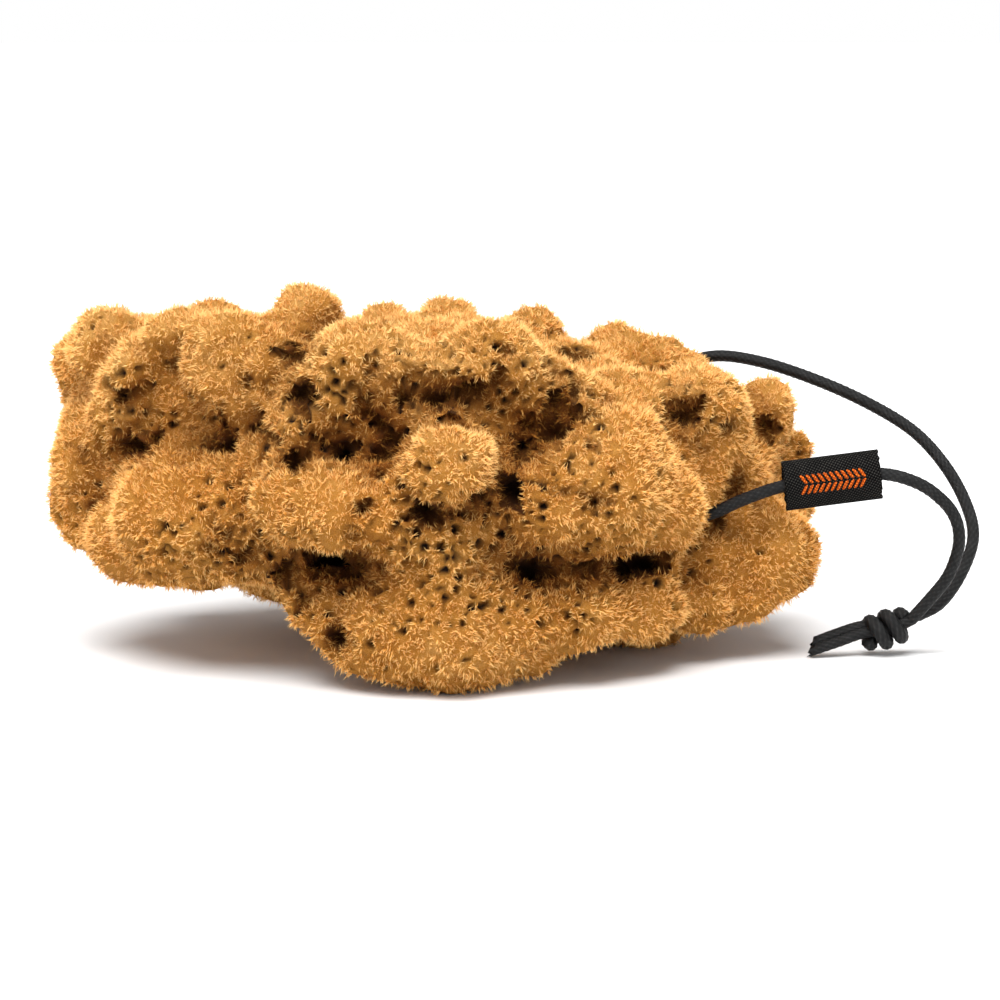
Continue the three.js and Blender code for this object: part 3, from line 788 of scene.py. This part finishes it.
# %% Measure the hollows and the valleys
HOLLOW_RAYS = 16
HOLLOW_REACH = 8 * MM
VALLEY_REACH = 26 * MM
RAY_LIFT = 0.3 * MM
HOLLOW_ROUNDS, VALLEY_ROUNDS = 2, 8
NEARLY_UPRIGHT = 0.9


def fan_of_rays(count):
    turn = np.arange(count) * math.pi * (3 - math.sqrt(5))
    height = np.sqrt((np.arange(count) + 0.5) / count)
    spread = np.sqrt(1 - height ** 2)
    return np.stack([spread * np.cos(turn), spread * np.sin(turn), height], axis=1)


def slopes_of(points, faces):
    corners = points[faces]
    return np.cross(corners[:, 2] - corners[:, 0], corners[:, 3] - corners[:, 1])


def normals_of(points, faces):
    slopes = slopes_of(points, faces)
    total = np.zeros_like(points)
    for n in range(faces.shape[1]):
        np.add.at(total, faces[:, n], slopes)
    return unit(total)


def tangents_of(normals):
    helper = np.where(np.abs(normals[:, 2:3]) < NEARLY_UPRIGHT, (0.0, 0.0, 1.0), (1.0, 0.0, 0.0))
    across = unit(np.cross(normals, helper))
    return across, np.cross(normals, across)


def hollows_and_valleys(points, normals, faces):
    tree = BVHTree.FromPolygons(points.tolist(), faces.tolist())
    across, upward = tangents_of(normals)
    starts = points + normals * RAY_LIFT
    near = np.zeros(len(points))
    far = np.zeros(len(points))
    for x, y, z in fan_of_rays(HOLLOW_RAYS):
        rays = x * across + y * upward + z * normals
        for i, (start, ray) in enumerate(zip(starts, rays)):
            distance = tree.ray_cast(start, ray, VALLEY_REACH)[3]
            if distance is not None:
                near[i] += distance < HOLLOW_REACH
                far[i] += 1 - distance / VALLEY_REACH
    return near / HOLLOW_RAYS, far / HOLLOW_RAYS


skin_normals = normals_of(skin, skin_faces)
hollow, valley = hollows_and_valleys(skin, skin_normals, skin_faces)
hollow = neighbour_mean(hollow, skin_faces, HOLLOW_ROUNDS)
valley = neighbour_mean(valley, skin_faces, VALLEY_ROUNDS)
print("hollow: mean", round(hollow.mean(), 2), "valley: mean", round(valley.mean(), 2))

# %% [markdown]
# ## Pores
# Between the holes lie many pores, from 1 to 2 mm wide. They stand close in some patches and in the
# clefts, are rare elsewhere, rarest in a few calm patches, and keep a distance from each other. Those
# below the knob, the round lump in the front's middle, can be told apart and come first. The others are
# tried at random, and each place that is taken closes the ground round it.

# %% Choose the pores
PORE_TRIES = 26000
PORE_SPACING = 1.9 * MM
PORE_RADIUS = (0.5 * MM, 1.0 * MM)
PORE_PATCH = 15 * MM
POROUS_MEAN, POROUS_SWING = 0.08, 0.9
POROUS_IN_VALLEYS = 1.2
LEAST_POROUS = 0.015
DEEP_ENOUGH = 0.6
SMOOTH_BELOW = 13 * MM
SMOOTH_SHARE = 0.25
PATCH_CORE = 1.3
PORE_SEED = 5
# Patches where pores stand close, each as x, y, z and radius in mm
PORE_PATCHES = np.array([
    (7, -42, 26, 13), (3, -46, 17, 11), (27, -42, 15, 6), (30, -38, 36, 7), (8, -34, 60, 13),
    (-20, -32, 57, 9), (-41, -26, 27, 9), (-30, -34, 20, 8), (46, -19, 51, 6), (26, -34, 52, 7),
    (-2, -38, 52, 7), (-58, -12, 46, 8),
]) * MM
# Pores below the knob that can be told apart, each as x, y and z in mm
PORES_BELOW_KNOB = np.array([
    (1.4, -43, 28), (3.6, -46, 26.5), (4, -43, 30.5), (6.5, -42, 27.5), (8.8, -40, 29), (11, -38, 27),
    (5.2, -45, 23.3), (1.6, -46, 24.2), (7.5, -42, 24.5), (12.2, -38, 30), (-2.2, -46, 28.6),
    (-4.4, -44, 30.7), (14.2, -34, 23), (9.5, -40, 32),
]) * MM
# Calm patches, given as x, y, z and radius in mm too
CALM_PATCHES = np.array([
    (62, -8, 24, 13), (5, -44, 7, 10), (-66, -5, 55, 8), (-51, -27, 36, 9), (40, -36, 14, 8),
]) * MM
rng = np.random.default_rng(PORE_SEED)


def areas_of(points, faces):
    return np.linalg.norm(slopes_of(points, faces), axis=1) / 2


def scatter(points, faces, count, generator):
    areas = areas_of(points, faces)
    chosen = generator.choice(len(faces), count, p=areas / areas.sum())
    return faces[chosen], inside_face(count, generator)


def inside_face(count, generator):
    u, v = generator.random((2, count, 1))
    return np.concatenate([(1 - u) * (1 - v), u * (1 - v), u * v, (1 - u) * v], axis=1)


def blend(values, corners, weights):
    picked = values[corners]
    if picked.ndim == 3:
        return (picked * weights[:, :, None]).sum(axis=1)
    return (picked * weights).sum(axis=1)


def closeness(places, patches):
    gaps = np.linalg.norm(places[:, None, :] - patches[None, :, :3], axis=2)
    return np.clip(PATCH_CORE - gaps / patches[:, 3], 0, 1).max(axis=1)


pore_corners, pore_weights = scatter(skin, skin_faces, PORE_TRIES, rng)
pore_places = blend(skin, pore_corners, pore_weights)
porous = POROUS_MEAN + POROUS_SWING * noise_at(pore_places, PORE_PATCH, shift=9.0)
porous = porous + closeness(pore_places, PORE_PATCHES) - closeness(pore_places, CALM_PATCHES)
porous = porous + POROUS_IN_VALLEYS * blend(valley, pore_corners, pore_weights)
porous = np.clip(porous, LEAST_POROUS, 1) * np.where(pore_places[:, 2] < SMOOTH_BELOW, SMOOTH_SHARE, 1)
porous = porous * (blend(hollow, pore_corners, pore_weights) < DEEP_ENOUGH)
tries = tree_of(pore_places)
free = rng.random(len(pore_places)) < porous
first = [tries.find(place)[1] for place in PORES_BELOW_KNOB]
free[first] = True
pores = []
for i in [*first, *range(len(pore_places))]:
    if free[i]:
        pores.append(i)
        for _, beside, _ in tries.find_range(pore_places[i], PORE_SPACING):
            free[beside] = False
pore_size = rng.random(len(pores)) ** 2
pore_size[:len(first)] = 1.0
pore_radius = PORE_RADIUS[0] + (PORE_RADIUS[1] - PORE_RADIUS[0]) * pore_size
print(len(pores), "pores")

# %% Press the pores in
PORE_DEPTH = 2.2
PORE_LIP = 1.35
SMALL_PORE_SHADE = 0.65


def press_pores(points, normals):
    depth = np.zeros(len(points))
    tree = tree_of(points)
    moved = points.copy()
    for i, radius, size in zip(pores, pore_radius, pore_size):
        shade = SMALL_PORE_SHADE + (1 - SMALL_PORE_SHADE) * size
        inward = -unit(blend(normals, pore_corners[i:i + 1], pore_weights[i:i + 1])[0])
        for _, corner, distance in tree.find_range(pore_places[i], PORE_LIP * radius):
            share = 1 - (distance / (PORE_LIP * radius)) ** 2
            moved[corner] += inward * PORE_DEPTH * radius * share
            depth[corner] = max(depth[corner], share * shade)
    return moved, depth


skin, pore_depth = press_pores(skin, skin_normals)
skin[:, 2] = np.maximum(skin[:, 2], FLOOR_GAP)
print("corners in pores:", int((pore_depth > 0).sum()))

# %% [markdown]
# ## The sponge's finishes
# Dry sponge fibre is golden. Its colour runs from orange brown at the roots to pale at the tips, which
# paints the shade among the fibres and light on their tips. Valleys get painted shade and turn browner, and
# deep holes are painted nearly black as shade. Both the skin and the tufts carry that rule, so it is one
# node group: it takes how far up the fibre a place lies, how hollow it is, how deep in a valley, and a
# chance value, and gives the colour with its painted shade.

# %% Make the group for sponge colour and painted shade
# Root to tip: the dark root tone paints the shade among the fibres, the pale tip tone painted light on
# their tips
SHADED_ROOT_TONE = (0.27, 0.075, 0.004)
BODY_TONE = (0.75, 0.312, 0.038)
LIT_TIP_TONE = (0.98, 0.62, 0.23)
# Painted shade: browner in the valleys between lumps, nearly black deep in holes and pores
VALLEY_PAINTED_SHADE = (0.48, 0.34, 0.16)
HOLE_PAINTED_SHADE = (0.020, 0.007, 0.002)
VALLEY_RANGE = (0.06, 0.45)
DEEP_RANGE = (0.3, 0.95)
CHANCE_SHARE = 0.3
TONE_PATCHES = (70.0, 0.5)
SPONGE_ROUGHNESS = 0.9
SPONGE_SPECULAR = 0.2


def add_painted_shade(tree, colour, tint, value, value_range, way):
    factor = add_node(tree, "ShaderNodeMapRange", {
        "Value": value, "From Min": value_range[0], "From Max": value_range[1]})
    mix = add_node(tree, "ShaderNodeMix", {"Factor": factor.outputs["Result"]},
                   data_type="RGBA", blend_type=way)
    plain, tinted = [socket for socket in mix.inputs if socket.type == "RGBA"]
    tree.links.new(colour, plain)
    tinted.default_value = (*tint, 1)
    return [socket for socket in mix.outputs if socket.type == "RGBA"][0]


def make_sponge_tone_group():
    group = bpy.data.node_groups.new("sponge_tone", "ShaderNodeTree")
    for name in ("Along", "Hollow", "Valley", "Chance"):
        group.interface.new_socket(name, in_out="INPUT", socket_type="NodeSocketFloat")
    group.interface.new_socket("Color", in_out="OUTPUT", socket_type="NodeSocketColor")
    inlet = group.nodes.new("NodeGroupInput")
    outlet = group.nodes.new("NodeGroupOutput")
    chance = add_node(group, "ShaderNodeMath", {
        0: inlet.outputs["Chance"], 1: CHANCE_SHARE, 2: inlet.outputs["Along"]}, operation="MULTIPLY_ADD")
    patchy = add_node(group, "ShaderNodeMath", {
        0: chance.outputs[0], 1: patches(group, *TONE_PATCHES)}, operation="ADD")
    tone = add_ramp(group, patchy.outputs[0], [(0.0, SHADED_ROOT_TONE), (0.5, BODY_TONE), (1.0, LIT_TIP_TONE)])
    # painted shade: first browner in the valleys, then nearly black deep in the holes
    tone = add_painted_shade(group, tone, VALLEY_PAINTED_SHADE, inlet.outputs["Valley"], VALLEY_RANGE, "MULTIPLY")
    tone = add_painted_shade(group, tone, HOLE_PAINTED_SHADE, inlet.outputs["Hollow"], DEEP_RANGE, "MIX")
    group.links.new(tone, outlet.inputs["Color"])
    return group


sponge_tone_group = make_sponge_tone_group()


def make_sponge_material(name, readings):
    material, tree, shader = new_material(name, SPONGE_ROUGHNESS)
    tone = add_node(tree, "ShaderNodeGroup", node_tree=sponge_tone_group)
    for socket, attribute in readings.items():
        value = add_node(tree, "ShaderNodeAttribute", attribute_name=attribute).outputs["Fac"]
        tree.links.new(value, tone.inputs[socket])
    tree.links.new(tone.outputs["Color"], shader.inputs["Base Color"])
    shader.inputs["Specular IOR Level"].default_value = SPONGE_SPECULAR
    return material, tree, shader, tone


FELT_FINENESS = 1300.0
FELT_RANGE = (0.36, 0.66)
FELT_CHANCE = (-1.1, 1.9)
FELT_DEPTH = 0.8 * MM
readings = {"Along": "along", "Hollow": "hollow", "Valley": "valley"}
sponge_fibre = make_sponge_material("sponge_fibre", {**readings, "Chance": "chance"})[0]
sponge_skin, skin_tree, skin_shader, skin_tone = make_sponge_material("sponge_skin", readings)
felt = add_node(skin_tree, "ShaderNodeTexNoise", {
    "Scale": FELT_FINENESS, "Detail": 5.0, "Roughness": 0.75, "Distortion": 1.6})
felt_contrast = add_node(skin_tree, "ShaderNodeMapRange", {
    "Value": felt.outputs["Fac"], "From Min": FELT_RANGE[0], "From Max": FELT_RANGE[1],
    "To Min": FELT_CHANCE[0], "To Max": FELT_CHANCE[1]})
skin_tree.links.new(felt_contrast.outputs["Result"], skin_tone.inputs["Chance"])
add_bump(skin_tree, skin_shader, felt.outputs["Fac"], strength=1.0, depth=FELT_DEPTH)
print("materials so far:", [material.name for material in bpy.data.materials])

# %% [markdown]
# ## The skin as a piece
# The skin goes into the scene with three values on each corner: how hollow it is there, pores included,
# how deep in a valley it lies, and how high on the fibre it counts, which paints it darker than the tufts
# that grow from it, as the shade under them. Where it faces up, high on the sponge, it is painted a little
# paler, as light falling on its top. Pores are painted darker still, as shade.

# %% Add the skin
# Painted light: faces that look up, high on the sponge, are made paler
TOP_PAINTED_LIGHT = 0.17
TOP_LIGHT_FROM, TOP_LIGHT_RUN = 35 * MM, 25 * MM
TOP_LIGHT_UPRIGHT, TOP_LIGHT_SLOPE = 0.5, 1.6
TOP_LIGHT_ROUNDS = 10
# Pores are painted darker, as the shade that fills them
PORE_PAINTED_SHADE = 1.2
# The skin counts low on the fibre, which paints it darker than the tufts, as the shade under them
SKIN_ALONG, SKIN_ALONG_SWING, SKIN_ALONG_SIZE = 0.32, 0.14, 2.2 * MM

skin_hollow = np.clip(np.maximum(hollow, PORE_PAINTED_SHADE * pore_depth), 0, 1)
skin_normals = normals_of(skin, skin_faces)
upward = neighbour_mean(skin_normals[:, 2], skin_faces, TOP_LIGHT_ROUNDS)
painted_top_light = TOP_PAINTED_LIGHT * np.clip(TOP_LIGHT_UPRIGHT + TOP_LIGHT_SLOPE * upward, 0, 1)
painted_top_light = painted_top_light * np.clip((skin[:, 2] - TOP_LIGHT_FROM) / TOP_LIGHT_RUN, 0, 1)
skin_along = SKIN_ALONG + SKIN_ALONG_SWING * noise_at(skin, SKIN_ALONG_SIZE, shift=2.0)
# the painted top light raises the skin's place on the fibre, which makes it paler
skin_along = np.clip(skin_along + painted_top_light, 0, 1)
sponge = new_piece("sponge_skin", skin, skin_faces, sponge_skin, values={
    "hollow": skin_hollow, "valley": valley, "along": skin_along})
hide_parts("sponge")
print("skin:", triangle_count(sponge), "triangles")

# %% [markdown]
# ## The tufts
# What makes a sponge look soft is its felt of tufts: a few fibres that lean together and end close to each
# other. Hair particles would be the usual way, but they aren't mesh and don't survive an export. So every
# fibre is a needle of four triangles: a root, a tip and two corners between them that make it bow. A tuft
# stands on about every second face of the skin, and on stretched faces more, which spreads them evenly.
# Below and behind, where few will look, they stand wider apart. They keep out of the pores and lean away
# from them, and they grow shorter in the hollows. A fibre whose root falls in a pore is moved to its rim.

# %% Place the tufts
TUFT_COUNT = 45500
FIBRES_PER_TUFT = 4
MOST_TUFTS_A_FACE = 4
TUFT_LENGTH = (0.9 * MM, 1.6 * MM)
LEAN_SIZE = 4.0 * MM
LEAN_SHARE = 0.45
TUFT_JITTER = 0.65
PORE_LEAN_REACH = 1.4 * MM
UNDERSIDE = -0.35
UNDERSIDE_SHARE = 0.42
BACK = 0.35
BACK_SHARE = 0.58
TUFTS_IN_OPEN, TUFTS_LOST = 1.7, 1.9
PORE_EDGE = 0.2
LEAN_FLATTEN = 0.7
SHORTER_IN_HOLLOWS = 0.4


def tuft_places(count, generator):
    areas = areas_of(skin, skin_faces)
    chances = np.clip(np.round(areas / np.median(areas)), 1, MOST_TUFTS_A_FACE).astype(int)
    order = generator.permutation(np.repeat(np.arange(len(skin_faces)), chances))
    corners = skin_faces[order]
    weights = inside_face(len(order), generator)
    outward = unit(blend(skin_normals, corners, weights))
    depth = blend(hollow, corners, weights)
    wanted = np.clip(TUFTS_IN_OPEN - TUFTS_LOST * depth, 0, 1)
    wanted = wanted * np.where(outward[:, 2] < UNDERSIDE, UNDERSIDE_SHARE, 1)
    wanted = wanted * np.where(outward[:, 1] > BACK, BACK_SHARE, 1)
    wanted = wanted * (blend(pore_depth, corners, weights) < PORE_EDGE)
    kept = np.flatnonzero(generator.random(len(order)) < wanted)[:count]
    return corners[kept], weights[kept], outward[kept]


pore_tree = tree_of(pore_places[pores])


def from_nearest_pore(places):
    nearest = [pore_tree.find(place) for place in places]
    away = unit(places - np.array([middle for middle, _, _ in nearest]))
    beyond_rim = np.array([gap for _, _, gap in nearest]) - pore_radius[[n for _, n, _ in nearest]]
    return away, beyond_rim[:, None]


tuft_corners, tuft_weights, tuft_outward = tuft_places(TUFT_COUNT, rng)
tuft_roots = blend(skin, tuft_corners, tuft_weights)
tuft_hollow = blend(hollow, tuft_corners, tuft_weights)
tuft_valley = blend(valley, tuft_corners, tuft_weights)
# the painted light on the sponge's top, carried from the skin to the tufts
tuft_painted_top_light = blend(painted_top_light, tuft_corners, tuft_weights)
lean = LEAN_SHARE * noise_vectors(tuft_roots, LEAN_SIZE, shift=20.0)
lean = lean + TUFT_JITTER * rng.normal(size=tuft_roots.shape)
away, beyond_rim = from_nearest_pore(tuft_roots)
lean = lean + away * np.clip(1 - beyond_rim / PORE_LEAN_REACH, 0, 1)
lean = lean - LEAN_FLATTEN * tuft_outward * (lean * tuft_outward).sum(axis=1, keepdims=True)
tuft_direction = unit(tuft_outward + lean)
tuft_length = rng.uniform(*TUFT_LENGTH, len(tuft_roots))
tuft_length = tuft_length * (1 - SHORTER_IN_HOLLOWS * np.clip(tuft_hollow, 0, 1))
print(len(tuft_roots), "tufts on", len(skin_faces), "faces")
print("mean length of a tuft:", round(tuft_length.mean() / MM, 2), "mm")

# %% Grow the fibres of each tuft
FIBRE_WIDTH = (0.04 * MM, 0.075 * MM)
FIBRE_BOW = (0.05 * MM, 0.15 * MM)
FIBRE_MIDDLE = (0.35, 0.6)
ROOT_SPREAD = 0.55 * MM
TIP_SPREAD = 0.28 * MM
FIBRE_SINK = 0.35 * MM
PORE_CLEAR = 0.15 * MM
FIBRE_LENGTH = (0.6, 1.1)


def grow_fibres():
    count = len(tuft_roots) * FIBRES_PER_TUFT
    tuft = np.repeat(np.arange(len(tuft_roots)), FIBRES_PER_TUFT)
    across, upward = tangents_of(tuft_outward[tuft])
    spread = ROOT_SPREAD * np.sqrt(rng.random((count, 1)))
    turn = 2 * math.pi * rng.random((count, 1))
    root = tuft_roots[tuft] + spread * (np.cos(turn) * across + np.sin(turn) * upward)
    away, beyond_rim = from_nearest_pore(root)
    root = root + away * np.clip(PORE_CLEAR - beyond_rim, 0, None) - tuft_outward[tuft] * FIBRE_SINK
    length = (tuft_length[tuft] * rng.uniform(*FIBRE_LENGTH, count))[:, None]
    tip = tuft_roots[tuft] + tuft_direction[tuft] * length + TIP_SPREAD * rng.normal(size=(count, 3))
    bow_side, bow_up = tangents_of(unit(tip - root))
    turn = 2 * math.pi * rng.random((count, 1))
    bow = np.cos(turn) * bow_side + np.sin(turn) * bow_up
    across = np.cross(unit(tip - root), bow)
    middle = root + (tip - root) * rng.uniform(*FIBRE_MIDDLE, (count, 1))
    middle = middle + bow * rng.uniform(*FIBRE_BOW, (count, 1))
    half = rng.uniform(*FIBRE_WIDTH, (count, 1))
    corners = np.stack([root, tip, middle - half * across, middle + half * across], axis=1)
    corners[:, :, 2] = np.maximum(corners[:, :, 2], LOWEST)
    return corners, tuft, rng.random(count)


fibre_corners, fibre_tuft, fibre_chance = grow_fibres()
print(len(fibre_corners), "fibres")

# %% Join the fibres into four pieces
FIBRE_FACES = np.array([(0, 2, 1), (0, 1, 3), (0, 3, 2), (1, 2, 3)])
# Along values of root, tip and the two side corners: dark roots and pale tips, painted shade and painted
# light
FIBRE_ALONG = (0.15, 0.95, 0.6, 0.6)
FIBRE_PIECES = ("left_end", "left_middle", "right_middle", "right_end")
from_left = np.argsort(fibre_corners[:, 1, 0], kind="stable")
for name, chosen in zip(FIBRE_PIECES, np.array_split(from_left, len(FIBRE_PIECES))):
    points = fibre_corners[chosen].reshape(-1, 3)
    faces = (len(FIBRE_ALONG) * np.arange(len(chosen))[:, None, None] + FIBRE_FACES).reshape(-1, 3)
    tuft = np.repeat(fibre_tuft[chosen], len(FIBRE_ALONG))
    tufts = new_piece(f"sponge_tufts_{name}", points, faces, sponge_fibre, smooth=False, values={
        # along also carries the painted light on the sponge's top
        "along": np.tile(FIBRE_ALONG, len(chosen)) + tuft_painted_top_light[tuft],
        "hollow": tuft_hollow[tuft], "valley": tuft_valley[tuft],
        "chance": np.repeat(fibre_chance[chosen], len(FIBRE_ALONG))})
    print(tufts.name, triangle_count(tufts), "triangles")

# %% [markdown]
# ## Floor, light and background
# The sponge lies on a plain white table in a bright tent: light comes softly from above and a little from
# the front, and the floor is so bright that only the shadow under the sponge shows. A sun lamp with a very
# wide angle gives the same soft light all over the floor, where a softbox would leave its far end grey. A
# softbox stands at the front left and one at the front right, and a white world fills the rest. The world
# is full white where the camera looks at it and dimmer as a light, so that it doesn't wash the shadows
# out.

# %% Build the floor
FLOOR_RADIUS = 12.0
FLOOR_SIDES = 96
FLOOR_TONE = (0.8, 0.8, 0.8, 1)
FLOOR_ROUGHNESS = 0.7
FLOOR_SPECULAR = 0.1

floor_angle = np.linspace(0, 2 * math.pi, FLOOR_SIDES, endpoint=False)
floor_mesh = bpy.data.meshes.new("floor")
floor_mesh.from_pydata(
    [(FLOOR_RADIUS * math.cos(a), FLOOR_RADIUS * math.sin(a), 0) for a in floor_angle], [],
    [list(range(FLOOR_SIDES))])
floor_white, _, floor_shader = new_material("floor_white", FLOOR_ROUGHNESS)
floor_shader.inputs["Base Color"].default_value = FLOOR_TONE
floor_shader.inputs["Specular IOR Level"].default_value = FLOOR_SPECULAR
floor_mesh.materials.append(floor_white)
floor = bpy.data.objects.new("floor", floor_mesh)
scene.collection.objects.link(floor)
print("floor", 2 * FLOOR_RADIUS, "m across")

# %% Hang the lights
SUN_STRENGTH = 5.6
SUN_ANGLE = math.radians(50)
SUN_FROM = (-0.12, -0.36, 1.0)
SOFTBOXES = {"left": (-0.55, -0.75, 0.45), "right": (0.65, -0.60, 0.30)}
SOFTBOX_SIZE = 0.45
SOFTBOX_POWER = 1.1
SOFTBOX_AIM = (0, 0, 0.03)
WORLD_AS_LIGHT = 0.44


def hang(name, kind, place, aim):
    light = bpy.data.lights.new(name, kind)
    lamp = bpy.data.objects.new(name, light)
    lamp.location = place
    lamp.rotation_euler = (Vector(place) - Vector(aim)).to_track_quat("Z", "Y").to_euler()
    scene.collection.objects.link(lamp)
    return light


sky = hang("sky_light", "SUN", SUN_FROM, (0, 0, 0))
sky.energy = SUN_STRENGTH
sky.angle = SUN_ANGLE
for side, place in SOFTBOXES.items():
    softbox = hang(f"softbox_{side}", "AREA", place, SOFTBOX_AIM)
    softbox.size = SOFTBOX_SIZE
    softbox.energy = SOFTBOX_POWER

world = bpy.data.worlds.new("tent")
world.use_nodes = True
scene.world = world
backdrop = world.node_tree.nodes["Background"]
backdrop.inputs["Color"].default_value = (1, 1, 1, 1)
looked_at = add_node(world.node_tree, "ShaderNodeLightPath").outputs["Is Camera Ray"]
strength = add_node(world.node_tree, "ShaderNodeMapRange", {
    "Value": looked_at, "To Min": WORLD_AS_LIGHT, "To Max": 1.0})
world.node_tree.links.new(strength.outputs["Result"], backdrop.inputs["Strength"])
scene.view_settings.view_transform = "Standard"
